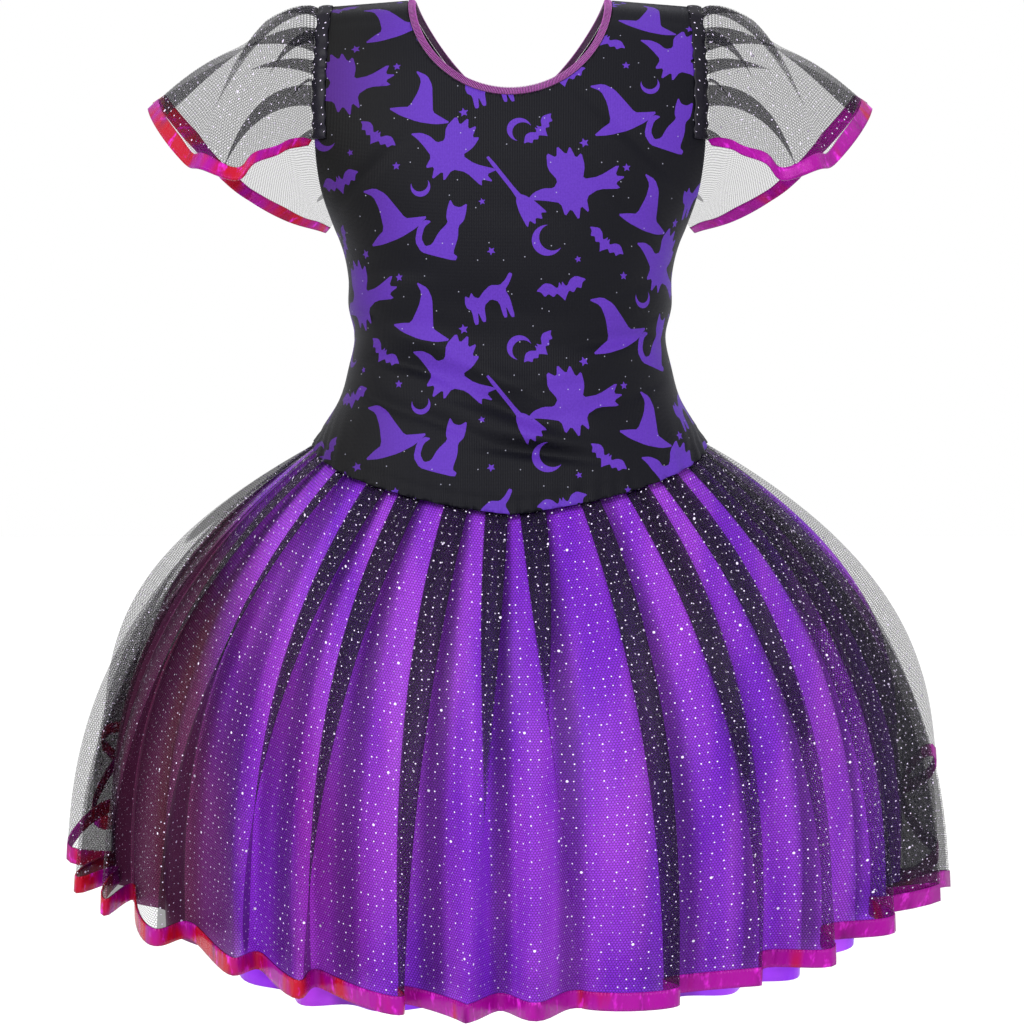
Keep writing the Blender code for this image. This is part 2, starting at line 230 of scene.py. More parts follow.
def smooth_table(rows, at):
    """The other columns of a table where its first column takes these values, on smooth curves."""
    table = np.array(rows, float)
    table = table[np.argsort(table[:, 0])]
    knots, values = table[:, 0], table[:, 1:]
    slopes = np.gradient(values, knots, axis=0)
    at = np.clip(np.asarray(at, float), knots[0], knots[-1])
    index = np.clip(np.searchsorted(knots, at) - 1, 0, len(knots) - 2)
    span = (knots[index + 1] - knots[index])[..., None]
    share = ((at - knots[index]) / span[..., 0])[..., None]
    rest = 1 - share
    ends = values[index] * (1 + 2 * share) * rest**2 + values[index + 1] * (1 + 2 * rest) * share**2
    return ends + span * share * rest * (slopes[index] * rest - slopes[index + 1] * share)


def form_at(height):
    columns = np.moveaxis(smooth_table(FORM, height), -1, 0)
    return dict(zip(FORM_COLUMNS[1:], columns))


def smooth_step(low, high, value):
    share = np.clip((value - low) / (high - low), 0, 1)
    return share * share * (3 - 2 * share)


def unit_section(angle):
    """Points of the rounded-square section of half size 1, at angles from straight ahead."""
    across, ahead = np.sin(angle), np.cos(angle)
    reach = (np.abs(across) ** SQUARENESS + np.abs(ahead) ** SQUARENESS) ** (-1 / SQUARENESS)
    return across * reach, ahead * reach


def section_angle(share):
    """The angles at which the unit section reaches these shares of its half width."""
    share = np.clip(share, -1, 1)
    ahead = (1 - np.abs(share) ** SQUARENESS) ** (1 / SQUARENESS)
    return np.arctan2(share, ahead)


def crease_rise(x, height, creases):
    total = np.zeros_like(x)
    for row in creases:
        crease = dict(zip(CREASE_COLUMNS, row))
        aside = x - crease["x"]
        above = height - crease["height"] - crease["slope"] * aside
        # A crease is sharper on its lower side, where the cloth above it hangs over
        width = crease["half_width"] * np.where(above < 0, 0.75, 1.3)
        distance = (aside / crease["half_length"]) ** 2 + (above / width) ** 2
        total += CREASE_STRENGTH * crease["rise"] * np.exp(-distance)
    return total


def form_point(angle, height, back, creases=()):
    """Points of the worn bodice: angle 0 is the middle of the front or of the back."""
    form = form_at(height)
    across, ahead = unit_section(angle)
    x = form["half_width"] * across
    depth = np.maximum(form["back_depth"] if back else form["front_depth"], 0)
    depth = depth + crease_rise(x, height, creases)
    depth = np.maximum(depth * ahead, SEAM_HALF_GAP)
    sloped = np.maximum(np.abs(x) - NECK_HALF_WIDTH, 0) * np.maximum(1 + height / SHOULDER_SLOPE_REACH, 0)
    return np.stack([x, depth if back else -depth, height - SHOULDER_SLOPE * sloped], -1)


def edge_angle(height):
    """The angle of a panel's edge: the armhole down to the underarm, then the side seam."""
    form = form_at(height)
    open_edge = section_angle(form["bodice_half_width"] / form["half_width"])
    return np.where(height <= UNDERARM, math.pi / 2, open_edge)


def neck_outline(back, steps, widened):
    """Half a neckline's x and height, evenly spaced from its lowest point to the shoulder."""
    half_width = NECK_HALF_WIDTH + widened
    depth = (NECK_BACK_DEPTH if back else NECK_FRONT_DEPTH) + widened
    low_curve, shoulder_curve = NECK_BACK_CURVE if back else NECK_FRONT_CURVE
    turn = np.linspace(0, math.pi / 2, 800)
    x = half_width * np.sin(turn) ** (2 / low_curve)
    height = -depth * np.cos(turn) ** (2 / shoulder_curve)
    walked = np.concatenate([[0], np.cumsum(np.hypot(np.diff(x), np.diff(height)))])
    stops = np.linspace(0, walked[-1], steps + 1)
    return np.interp(stops, walked, x), np.interp(stops, walked, height)


def seam_height(angle, back):
    facing = np.cos(angle) ** 2
    if back:
        return SEAM_SIDE_HEIGHT - SEAM_BACK_DIP * facing
    point = SEAM_POINT_DIP * np.exp(-np.abs(angle) / SEAM_POINT_ANGLE)
    return SEAM_SIDE_HEIGHT - SEAM_FRONT_DIP * facing - point


def grid_mesh(name, points, attributes=None, flip=False):
    """A mesh from a grid of points, rows by columns, with a value at each point for each attribute."""
    rows, columns = points.shape[:2]
    index = np.arange(rows * columns).reshape(rows, columns)
    quads = np.stack([index[:-1, :-1], index[:-1, 1:], index[1:, 1:], index[1:, :-1]], -1).reshape(-1, 4)
    if flip:
        quads = quads[:, ::-1]
    mesh = bpy.data.meshes.new(name)
    mesh.from_pydata(points.reshape(-1, 3).tolist(), [], quads.tolist())
    mesh.shade_smooth()
    for label, values in (attributes or {}).items():
        layer = mesh.attributes.new(label, "FLOAT", "POINT")
        layer.data.foreach_set("value", np.asarray(values, np.float32).reshape(-1))
    piece = bpy.data.objects.new(name, mesh)
    bpy.context.scene.collection.objects.link(piece)
    return piece


def thicken(piece, thickness, offset=-1.0, inner_material=0):
    solidify = piece.modifiers.new("thickness", "SOLIDIFY")
    solidify.thickness = thickness
    solidify.offset = offset
    solidify.material_offset = inner_material
    solidify.material_offset_rim = inner_material


# Materials


class Nodes:
    """Short calls for building a material's nodes."""

    def __init__(self, name):
        self.material = bpy.data.materials.new(name)
        self.material.use_nodes = True
        self.tree = self.material.node_tree
        self.shader = self.tree.nodes["Principled BSDF"]

    def add(self, kind, **values):
        node = self.tree.nodes.new(kind)
        for key, value in values.items():
            setattr(node, key, value)
        return node

    def link(self, source, target):
        self.tree.links.new(source, target)

    def put(self, socket, value):
        if isinstance(value, (int, float, tuple)):
            socket.default_value = value
        else:
            self.link(value, socket)

    def math(self, operation, *values):
        node = self.add("ShaderNodeMath", operation=operation)
        for socket, value in zip(node.inputs, values):
            self.put(socket, value)
        return node.outputs[0]

    def attribute(self, name):
        return self.add("ShaderNodeAttribute", attribute_name=name).outputs["Fac"]

    def vector(self, x, y, z=0.0):
        node = self.add("ShaderNodeCombineXYZ")
        for socket, value in zip(node.inputs, (x, y, z)):
            self.put(socket, value)
        return node.outputs[0]

    def noise(self, vector, scale, detail=2.0, roughness=0.5):
        node = self.add("ShaderNodeTexNoise")
        self.put(node.inputs["Scale"], scale)
        self.put(node.inputs["Detail"], detail)
        self.put(node.inputs["Roughness"], roughness)
        self.link(vector, node.inputs["Vector"])
        return node.outputs[0]

    def voronoi(self, vector, scale, randomness=1.0):
        node = self.add("ShaderNodeTexVoronoi", feature="F1", voronoi_dimensions="2D")
        self.put(node.inputs["Scale"], scale)
        self.put(node.inputs["Randomness"], randomness)
        self.link(vector, node.inputs["Vector"])
        return node

    def steps(self, value, low, high, to_low=0.0, to_high=1.0):
        node = self.add("ShaderNodeMapRange", interpolation_type="SMOOTHSTEP")
        for socket, given in zip(node.inputs, (value, low, high, to_low, to_high)):
            self.put(socket, given)
        return node.outputs[0]

    def mix(self, factor, one, two):
        node = self.add("ShaderNodeMix", data_type="RGBA")
        self.put(node.inputs["Factor"], factor)
        self.put(node.inputs["A"], one)
        self.put(node.inputs["B"], two)
        return next(socket for socket in node.outputs if socket.type == "RGBA")

    def bump(self, height, distance, strength=1.0):
        node = self.add("ShaderNodeBump")
        node.inputs["Strength"].default_value = strength
        node.inputs["Distance"].default_value = distance
        self.link(height, node.inputs["Height"])
        return node.outputs[0]


def position_parts(nodes):
    geometry = nodes.add("ShaderNodeNewGeometry")
    split = nodes.add("ShaderNodeSeparateXYZ")
    nodes.link(geometry.outputs["Position"], split.inputs[0])
    return geometry.outputs["Position"], split.outputs


def knit_material(name, dark, light, left_light_tint):
    """Fine jersey in one colour, with a painted warm light tint towards the left and sparse glitter."""
    nodes = Nodes(name)
    _, (x, _, _) = position_parts(nodes)
    across, down = nodes.attribute("across"), nodes.attribute("down")
    cloth = nodes.vector(across, down)
    colour = nodes.mix(nodes.noise(cloth, 700.0, 3.0, 0.7), dark, light)
    # Painted light: towards the left the colour turns to a duller, yellower tint, as if a yellow lamp lit
    # that side
    colour = nodes.mix(nodes.steps(x, -0.045, -0.13, 0.0, 0.75), colour, left_light_tint)
    dots = nodes.voronoi(cloth, 95.0)
    chosen = nodes.math("GREATER_THAN", dots.outputs["Color"], 0.66)
    speck = nodes.math("MULTIPLY", nodes.steps(dots.outputs["Distance"], 0.045, 0.03), chosen)
    colour = nodes.mix(nodes.math("MULTIPLY", speck, 0.5), colour, (0.40, 0.40, 0.50, 1))
    nodes.link(colour, nodes.shader.inputs["Base Color"])
    nodes.shader.inputs["Roughness"].default_value = 0.5
    nodes.shader.inputs["Sheen Weight"].default_value = 0.03
    nodes.shader.inputs["Sheen Roughness"].default_value = 0.4
    nodes.shader.inputs["Sheen Tint"].default_value = (0.35, 0.38, 0.75, 1)
    nodes.shader.inputs["Specular IOR Level"].default_value = 0.10
    wales = nodes.math("SINE", nodes.math("MULTIPLY", across, 2 * math.pi / WALE_PITCH))
    courses = nodes.math("SINE", nodes.math("MULTIPLY", down, 2 * math.pi / COURSE_PITCH))
    rib = nodes.math("ADD", wales, nodes.math("MULTIPLY", courses, 0.5))
    nodes.link(nodes.bump(rib, 0.00008, 0.7), nodes.shader.inputs["Normal"])
    return nodes.material


def net_cover(nodes, across, down, cell):
    """How much the net's threads cover: round holes in a honeycomb."""
    turns = [(math.cos(a), math.sin(a)) for a in (math.pi / 2, math.pi * 7 / 6, math.pi * 11 / 6)]
    pitch = 2 * math.pi / (cell * math.sqrt(3) / 2)
    total = 0.0
    for along_x, along_y in turns:
        place = nodes.math(
            "ADD",
            nodes.math("MULTIPLY", across, along_x * pitch),
            nodes.math("MULTIPLY", down, along_y * pitch),
        )
        total = nodes.math("ADD", nodes.math("COSINE", place), total)
    return nodes.steps(total, 0.1, -1.1)


def net_material(name, closed):
    """Black net with silver dots; the closed one is folded thick enough to hide what is behind it."""
    nodes = Nodes(name)
    across, down = nodes.attribute("across"), nodes.attribute("down")
    cloth = nodes.vector(across, down)
    cover = net_cover(nodes, across, down, NET_CELL)
    cover = nodes.steps(cover, 0.0, 1.0, 0.06, 0.60)
    folded = nodes.attribute("folded")
    cover = nodes.math("MAXIMUM", cover, nodes.steps(folded, 0.02, 0.10, 0.0, 0.72))
    if closed:
        cover = nodes.math("MAXIMUM", cover, 0.97)
    dots = nodes.voronoi(cloth, 165.0, randomness=0.55)
    size = nodes.steps(dots.outputs["Color"], 0.2, 0.9, 0.035, 0.085)
    dot = nodes.math("LESS_THAN", dots.outputs["Distance"], size)
    big = nodes.voronoi(cloth, 26.0)
    chosen = nodes.math("GREATER_THAN", big.outputs["Color"], 0.45)
    spark = nodes.math("MULTIPLY", nodes.math("LESS_THAN", big.outputs["Distance"], 0.022), chosen)
    dot = nodes.math("MAXIMUM", dot, spark)
    thread = nodes.mix(nodes.noise(cloth, 40.0), (0.0015, 0.0012, 0.003, 1), (0.006, 0.0045, 0.012, 1))
    colour = nodes.mix(dot, thread, (0.62, 0.55, 0.72, 1))
    nodes.link(colour, nodes.shader.inputs["Base Color"])
    nodes.shader.inputs["Roughness"].default_value = 0.5
    nodes.shader.inputs["Specular IOR Level"].default_value = 0.15
    nodes.link(nodes.math("MAXIMUM", cover, dot), nodes.shader.inputs["Alpha"])
    return nodes.material


def satin_material():
    nodes = Nodes("purple_satin")
    _, (x, _, _) = position_parts(nodes)
    across, down = nodes.attribute("across"), nodes.attribute("down")
    cloth = nodes.vector(across, nodes.math("MULTIPLY", down, 0.25))
    # Random streaks along the length: lighter and darker purple are painted sheen and shade of the satin's
    # folds; the magenta patches are partly the satin's own colour and partly painted shade
    shade = nodes.noise(cloth, 14.0, 3.0, 0.55)
    purple = nodes.mix(nodes.steps(shade, 0.35, 0.65), (0.20, 0.016, 0.66, 1), (0.40, 0.060, 0.80, 1))
    magenta = nodes.noise(cloth, 6.0, 2.0, 0.5)
    purple = nodes.mix(nodes.steps(magenta, 0.52, 0.75, 0.0, 0.75), purple, (0.33, 0.016, 0.36, 1))
    # Painted shade: the satin darkens in the valleys between its pleats
    valley_shade = nodes.steps(nodes.attribute("valley_shade"), 0.1, 1.0, 0.0, 0.65)
    purple = nodes.mix(valley_shade, purple, (0.055, 0.006, 0.14, 1))
    # Painted light: the purple turns red-brown towards the left, as if a yellow lamp lit that side
    painted_left_light = nodes.steps(x, -0.15, -0.20, 0.0, 0.90)
    purple = nodes.mix(painted_left_light, purple, (0.120, 0.022, 0.018, 1))
    nodes.link(purple, nodes.shader.inputs["Base Color"])
    nodes.shader.inputs["Roughness"].default_value = 0.34
    nodes.shader.inputs["Anisotropic"].default_value = 0.4
    nodes.shader.inputs["Specular IOR Level"].default_value = 0.28
    nodes.shader.inputs["Specular Tint"].default_value = (0.75, 0.40, 1.0, 1)
    twill = nodes.math("ADD", across, down)
    weave = nodes.math("SINE", nodes.math("MULTIPLY", twill, 2 * math.pi / 0.0008))
    ripple = nodes.noise(cloth, 70.0, 2.0)
    height = nodes.math("ADD", nodes.math("MULTIPLY", weave, 0.04), ripple)
    nodes.link(nodes.bump(height, 0.0012, 0.5), nodes.shader.inputs["Normal"])
    return nodes.material


def ribbon_material():
    nodes = Nodes("magenta_ribbon")
    _, (x, _, _) = position_parts(nodes)
    across, down = nodes.attribute("across"), nodes.attribute("down")
    lengthwise = nodes.vector(across, nodes.math("MULTIPLY", down, 0.4))
    # Painted light: red patches along the magenta ribbon, more of them towards the left, where warm light
    # turns magenta red
    patch = nodes.noise(lengthwise, 22.0, 3.0, 0.6)
    lean = nodes.steps(x, 0.05, -0.20, 0.0, 0.16)
    painted_red_light = nodes.steps(nodes.math("ADD", patch, lean), 0.56, 0.68)
    colour = nodes.mix(painted_red_light, (0.24, 0.0008, 0.20, 1), (0.33, 0.0022, 0.010, 1))
    # Painted shade: darker patches where the ribbon's crinkles fall into shade
    crinkle_shade = nodes.steps(nodes.noise(lengthwise, 55.0, 2.0), 0.55, 0.75, 0.0, 0.7)
    colour = nodes.mix(crinkle_shade, colour, (0.07, 0.001, 0.06, 1))
    # Painted highlights: lighter bands across the ribbon, as gathered satin catches the light
    highlight_bands = nodes.noise(nodes.vector(across, nodes.math("MULTIPLY", down, 0.5)), 130.0, 3.0, 0.65)
    colour = nodes.mix(nodes.steps(highlight_bands, 0.54, 0.72, 0.0, 0.8), colour, (0.62, 0.020, 0.58, 1))
    nodes.link(colour, nodes.shader.inputs["Base Color"])
    nodes.shader.inputs["Roughness"].default_value = 0.26
    nodes.shader.inputs["Specular Tint"].default_value = (1.0, 0.35, 0.80, 1)
    nodes.shader.inputs["Anisotropic"].default_value = 0.6
    nodes.shader.inputs["Specular IOR Level"].default_value = 0.32
    cords = nodes.math("SINE", nodes.math("MULTIPLY", across, 2 * math.pi / 0.0007))
    pucker = nodes.noise(nodes.vector(across, nodes.math("MULTIPLY", down, 0.3)), 160.0, 2.0)
    edge = nodes.steps(nodes.math("ABSOLUTE", nodes.attribute("middle")), 0.66, 0.78)
    stitch = nodes.math("SINE", nodes.math("MULTIPLY", across, 2 * math.pi / 0.0022))
    stitched = nodes.math("MULTIPLY", edge, stitch)
    height = nodes.math("ADD", nodes.math("MULTIPLY", cords, 0.03), pucker)
    height = nodes.math("ADD", height, nodes.math("MULTIPLY", stitched, 0.12))
    nodes.link(nodes.bump(height, 0.0016, 0.8), nodes.shader.inputs["Normal"])
    return nodes.material


def thread_material(name, dark, light):
    nodes = Nodes(name)
    position, _ = position_parts(nodes)
    colour = nodes.mix(nodes.noise(position, 700.0), dark, light)
    nodes.link(colour, nodes.shader.inputs["Base Color"])
    nodes.shader.inputs["Roughness"].default_value = 0.45
    nodes.shader.inputs["Sheen Weight"].default_value = 0.3
    nodes.link(nodes.bump(nodes.noise(position, 2500.0), 0.0001, 0.6), nodes.shader.inputs["Normal"])
    return nodes.material


# The print: our own motifs, each an outline of size 1


def mirrored(half):
    return [*half, *[(-x, y) for x, y in half[::-1]]]


def star_outline(points=5, inner=0.42):
    reach = [0.5, 0.5 * inner] * points
    turns = [math.pi / 2 + math.pi * corner / points for corner in range(2 * points)]
    return [(far * math.cos(turn), far * math.sin(turn)) for far, turn in zip(reach, turns)]


def moon_outline(steps=14, inner=0.43, shift=0.19):
    """A crescent: most of a circle, and back along the edge of a smaller one."""
    meet = math.acos((0.25 + shift**2 - inner**2) / shift)
    far = np.linspace(meet, 2 * math.pi - meet, 2 * steps)
    near_meet = math.atan2(0.5 * math.sin(meet), 0.5 * math.cos(meet) - shift)
    near = np.linspace(2 * math.pi - near_meet, near_meet, steps)[1:-1]
    outer = [(0.5 * math.cos(turn), 0.5 * math.sin(turn)) for turn in far]
    return outer + [(shift + inner * math.cos(turn), inner * math.sin(turn)) for turn in near]


MOTIFS = {
    "bat": mirrored(
        [
            (0.0, 0.09), (0.03, 0.17), (0.06, 0.09), (0.10, 0.06), (0.19, 0.17), (0.31, 0.21), (0.50, 0.10),
            (0.41, 0.06), (0.36, -0.05), (0.28, 0.00), (0.20, -0.09),
            (0.12, -0.03), (0.05, -0.12), (0.0, -0.20),
        ]
    ),
    "hat": [
        (-0.50, -0.30), (-0.28, -0.37), (0.02, -0.40), (0.30, -0.37), (0.52, -0.28), (0.32, -0.22),
        (0.20, -0.18), (0.13, 0.04), (0.06, 0.26), (-0.06, 0.40), (-0.27, 0.44), (-0.13, 0.30),
        (-0.12, 0.10), (-0.18, -0.19), (-0.32, -0.23),
    ],
    "cat": [
        (-0.20, -0.50), (0.20, -0.50), (0.22, -0.42), (0.13, -0.38), (0.15, -0.10), (0.11, 0.08),
        (0.18, 0.20), (0.18, 0.34), (0.16, 0.50), (0.06, 0.40), (-0.05, 0.40), (-0.14, 0.50), (-0.15, 0.32),
        (-0.13, 0.18), (-0.08, 0.10), (-0.20, -0.10), (-0.26, -0.32), (-0.37, -0.38), (-0.47, -0.26),
        (-0.46, -0.06), (-0.36, 0.06), (-0.48, 0.06), (-0.58, -0.08), (-0.57, -0.34), (-0.42, -0.49),
    ],
    "broom": [
        (-0.52, 0.026), (-0.52, -0.022), (0.10, -0.026), (0.15, -0.07), (0.28, -0.12), (0.50, -0.16),
        (0.43, -0.08), (0.52, -0.05), (0.45, 0.0), (0.52, 0.06), (0.44, 0.09), (0.49, 0.16), (0.28, 0.12),
        (0.15, 0.07), (0.10, 0.028),
    ],
    "raven": [
        (-0.50, 0.02), (-0.40, 0.08), (-0.30, 0.09), (-0.20, 0.06),
        (-0.14, 0.12), (-0.20, 0.26), (-0.16, 0.42),
        (-0.08, 0.34), (-0.04, 0.46), (0.02, 0.34), (0.08, 0.42), (0.10, 0.28), (0.17, 0.32), (0.16, 0.18),
        (0.10, 0.06), (0.26, 0.04), (0.50, 0.10), (0.42, 0.00), (0.52, -0.04), (0.40, -0.07), (0.44, -0.14),
        (0.22, -0.08), (0.08, -0.12), (0.06, -0.28), (0.00, -0.18), (-0.06, -0.32), (-0.10, -0.18),
        (-0.18, -0.24), (-0.18, -0.10), (-0.30, -0.04), (-0.40, 0.00),
    ],
    "arched_cat": [
        (-0.40, -0.38), (-0.32, -0.38), (-0.29, -0.14), (-0.24, -0.36), (-0.17, -0.36), (-0.15, -0.06),
        (0.00, 0.04), (0.14, -0.04), (0.17, -0.36), (0.24, -0.36),
        (0.25, -0.14), (0.31, -0.38), (0.38, -0.38),
        (0.36, -0.02), (0.30, 0.16), (0.40, 0.26), (0.50, 0.42), (0.44, 0.46), (0.34, 0.34), (0.22, 0.26),
        (0.04, 0.30), (-0.12, 0.20), (-0.22, 0.10), (-0.30, 0.14), (-0.34, 0.24), (-0.40, 0.14),
        (-0.47, 0.20), (-0.50, 0.06), (-0.48, -0.04), (-0.40, -0.10),
    ],
    "star": star_outline(),
    "moon": moon_outline(),
}

# One repeat of the print: motif, across, down, size in metres, and turn in degrees
REPEAT_ACROSS = 0.150
REPEAT_DOWN = 0.142
PRINT = (
    ("raven", 0.028, 0.020, 0.066, 18),
    ("hat", 0.080, 0.030, 0.042, -16),
    ("arched_cat", 0.124, 0.022, 0.034, 12),
    ("bat", 0.048, 0.056, 0.030, -36),
    ("moon", 0.010, 0.054, 0.020, 30),
    ("raven", 0.098, 0.070, 0.062, -28),
    ("broom", 0.138, 0.092, 0.052, -52),
    ("bat", 0.020, 0.086, 0.034, 14),
    ("hat", 0.056, 0.106, 0.046, 22),
    ("cat", 0.098, 0.118, 0.038, -14),
    ("moon", 0.142, 0.052, 0.016, -40),
    ("bat", 0.006, 0.124, 0.028, 50),
    ("star", 0.106, 0.040, 0.007, 10),
    ("star", 0.062, 0.076, 0.006, 0),
    ("star", 0.034, 0.132, 0.007, 20),
    ("star", 0.062, 0.006, 0.006, 5),
    ("moon", 0.078, 0.090, 0.013, 100),
    ("star", 0.030, 0.066, 0.005, 15),
    ("star", 0.124, 0.132, 0.006, 30),
    ("star", 0.118, 0.100, 0.005, 12),
)


def inside_outline(x, y, outline):
    """Which points lie inside an outline."""
    corners = np.array(outline)
    inside = np.zeros(x.shape, bool)
    for (ax, ay), (bx, by) in zip(corners, np.roll(corners, -1, axis=0)):
        crosses = (ay > y) != (by > y)
        with np.errstate(divide="ignore", invalid="ignore"):
            where = ax + (y - ay) * (bx - ax) / (by - ay)
        inside ^= crosses & (x < where)
    return inside


def rounded(outline, rounds=2):
    """An outline with its corners cut, which leaves it softer."""
    points = np.array(outline, float)
    for _ in range(rounds):
        following = np.roll(points, -1, axis=0)
        cuts = [0.82 * points + 0.18 * following, 0.18 * points + 0.82 * following]
        points = np.stack(cuts, 1).reshape(-1, 2)
    return points


def placed_motifs(low, high, bottom, offset):
    """The outlines of the print that fall on a panel, in cloth coordinates."""
    outlines = []
    for column in range(math.floor((low - offset) / REPEAT_ACROSS) - 1, math.ceil(high / REPEAT_ACROSS) + 1):
        for row in range(-1, math.ceil(bottom / REPEAT_DOWN) + 1):
            for motif, left, top, size, turn in PRINT:
                place = (
                    left + column * REPEAT_ACROSS + offset,
                    top + (row + 0.5 * (column % 2)) * REPEAT_DOWN,
                )
                cos, sin = math.cos(math.radians(turn)), math.sin(math.radians(turn))
                shape = rounded(MOTIFS[motif], 0 if motif == "moon" else 1) * size
                across = shape[:, 0] * cos - shape[:, 1] * sin
                up = shape[:, 0] * sin + shape[:, 1] * cos
                outline = np.stack([place[0] + across, place[1] - up], -1)
                if outline[:, 0].max() > low and outline[:, 0].min() < high and outline[:, 1].max() > 0:
                    outlines.append(outline)
    return outlines


# Bodice


def panel_border(back):
    """The panel's edge as angles and heights: neckline, shoulder, armhole, side seam and waist seam."""
    x, tops = neck_outline(back, 60, NECK_EDGE_WIDTH + 0.0005)
    neck = section_angle(x / form_at(tops)["half_width"])
    shoulder = np.linspace(neck[-1], edge_angle(np.array(0.0)), 24)[1:]
    side_heights = np.linspace(0, SEAM_SIDE_HEIGHT, 150)[1:]
    seam = np.linspace(math.pi / 2, 0, 160)[1:]
    angle = np.concatenate([neck, shoulder, edge_angle(side_heights), seam])
    height = np.concatenate([tops, 0 * shoulder, side_heights, seam_height(seam, back)])
    inner = slice(-2, 0, -1)
    return np.concatenate([angle, -angle[inner]]), np.concatenate([height, height[inner]])


def section_arcs(angle, height, back):
    """How far the cloth runs across from the middle line to each angle, at each height."""
    steps = np.linspace(0, 1, 25)
    heights = np.broadcast_to(height[..., None], (*angle.shape, 25))
    section = form_point(angle[..., None] * steps, heights, back)
    return np.concatenate(
        [
            np.zeros((*angle.shape, 1)),
            np.cumsum(np.linalg.norm(np.diff(section[..., :2], axis=-2), axis=-1), -1),
        ],
        -1,
    )


def walked_down(back):
    """Heights, and how far down the cloth from the shoulder each of them is."""
    heights = np.linspace(0, -0.40, 400)
    depths = form_at(heights)["back_depth" if back else "front_depth"]
    return heights, np.concatenate([[0], np.cumsum(np.hypot(np.diff(heights), np.diff(depths)))])


def on_cloth(angle, height, back):
    """The flat cloth's coordinates of points on the body: across from the middle, and down."""
    heights, walked = walked_down(back)
    across = section_arcs(angle, height, back)[..., -1] * np.sign(angle)
    return np.stack([across, np.interp(-height, -heights, walked)], -1)


def on_body(places, back):
    """The angles and heights on the body of points of the flat cloth."""
    heights, walked = walked_down(back)
    height = np.interp(places[:, 1], walked, heights)
    arcs = section_arcs(np.full(len(places), math.pi / 2), height, back)
    target = np.minimum(np.abs(places[:, 0]), arcs[:, -1] * 0.99999)
    index = np.clip((arcs <= target[:, None]).sum(1) - 1, 0, arcs.shape[1] - 2)
    low, high = (np.take_along_axis(arcs, (index + step)[:, None], 1)[:, 0] for step in (0, 1))
    share = (index + (target - low) / np.maximum(high - low, 1e-9)) / (arcs.shape[1] - 1)
    return share * math.pi / 2 * np.sign(places[:, 0]), height


def pucker(points, across, above):
    """Small puckers where the skirt's gathers are sewn on, and the turned edge above the seam."""
    above = np.maximum(above, 0)
    ripple = np.sin(across * 2 * math.pi / 0.012 + 1.3 * np.sin(across * 90)) * np.exp(-above / 0.010)
    ridge = np.exp(-(((above - 0.0075) / 0.0018) ** 2))
    outward = points * (1, 1, 0)
    outward = outward / np.maximum(np.linalg.norm(outward, axis=-1, keepdims=True), 1e-6)
    return points + outward * (0.0007 * ripple - 0.0006 * ridge)[:, None]


def build_bodice(half, back, materials):
    """A bodice panel whose triangles follow the edges of the print, so that its colours meet sharply."""
    border_angle, border_height = panel_border(back)
    border = on_cloth(border_angle, border_height, back)
    low, high = border[:, 0].min(), border[:, 0].max()
    motifs = placed_motifs(low, high, border[:, 1].max(), 0.062 if back else 0.014)
    grid = np.stack(np.meshgrid(np.arange(low, high, CLOTH_GRID), np.arange(0, 0.40, CLOTH_GRID)), -1)
    grid = grid.reshape(-1, 2) + CLOTH_GRID * 0.25 * np.sin(grid.reshape(-1, 2)[:, ::-1] * 4000)
    grid = grid[inside_outline(grid[:, 0], grid[:, 1], border)]
    points, edges = list(border), []
    for outline in motifs:
        first = len(points)
        edges += [(first + i, first + (i + 1) % len(outline)) for i in range(len(outline))]
        points += list(outline)
    points += list(grid)
    edges += [(i, (i + 1) % len(border)) for i in range(len(border))]
    vertices, _, faces, _, _, _ = delaunay_2d_cdt([Vector(point) for point in points], edges, [], 0, 1e-6)
    places, faces = np.array([tuple(vertex) for vertex in vertices]), np.array([list(face) for face in faces])
    centres = places[faces].mean(1)
    used, faces = np.unique(faces[inside_outline(centres[:, 0], centres[:, 1], border)], return_inverse=True)
    places, faces = places[used], faces.reshape(-1, 3)
    angle, height = on_body(places, back)
    bodies = form_point(angle, height, back, BACK_CREASES if back else FRONT_CREASES)
    bodies = pucker(bodies, places[:, 0], height - seam_height(angle, back))
    mesh = bpy.data.meshes.new(f"{half}_panel")
    mesh.from_pydata(bodies.tolist(), [], (faces if back else faces[:, ::-1]).tolist())
    mesh.shade_smooth()
    for label, values in (("across", places[:, 0]), ("down", places[:, 1])):
        mesh.attributes.new(label, "FLOAT", "POINT").data.foreach_set("value", values.astype(np.float32))
    centres = places[faces].mean(1)
    inked = np.zeros(len(faces), bool)
    for outline in motifs:
        near = np.all((centres > outline.min(0)) & (centres < outline.max(0)), axis=1)
        inked[near] |= inside_outline(centres[near, 0], centres[near, 1], outline)
    mesh.polygons.foreach_set("material_index", inked.astype(np.int32))
    for look in ("knit", "print", "knit", "knit"):
        mesh.materials.append(materials[look])
    piece = bpy.data.objects.new(f"{half}_panel", mesh)
    bpy.context.scene.collection.objects.link(piece)
    thicken(piece, KNIT, inner_material=2)
    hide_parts(f"bodice_{half}")
    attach(piece, "root")


def panel_point(x, height, back):
    half_width = form_at(height)["half_width"]
    return form_point(section_angle(x / half_width), height, back)


def neck_line(back, steps, widened):
    x, height = neck_outline(back, steps, widened)
    x, height = np.concatenate([-x[:0:-1], x]), np.concatenate([height[:0:-1], height])
    return panel_point(x, height, back)


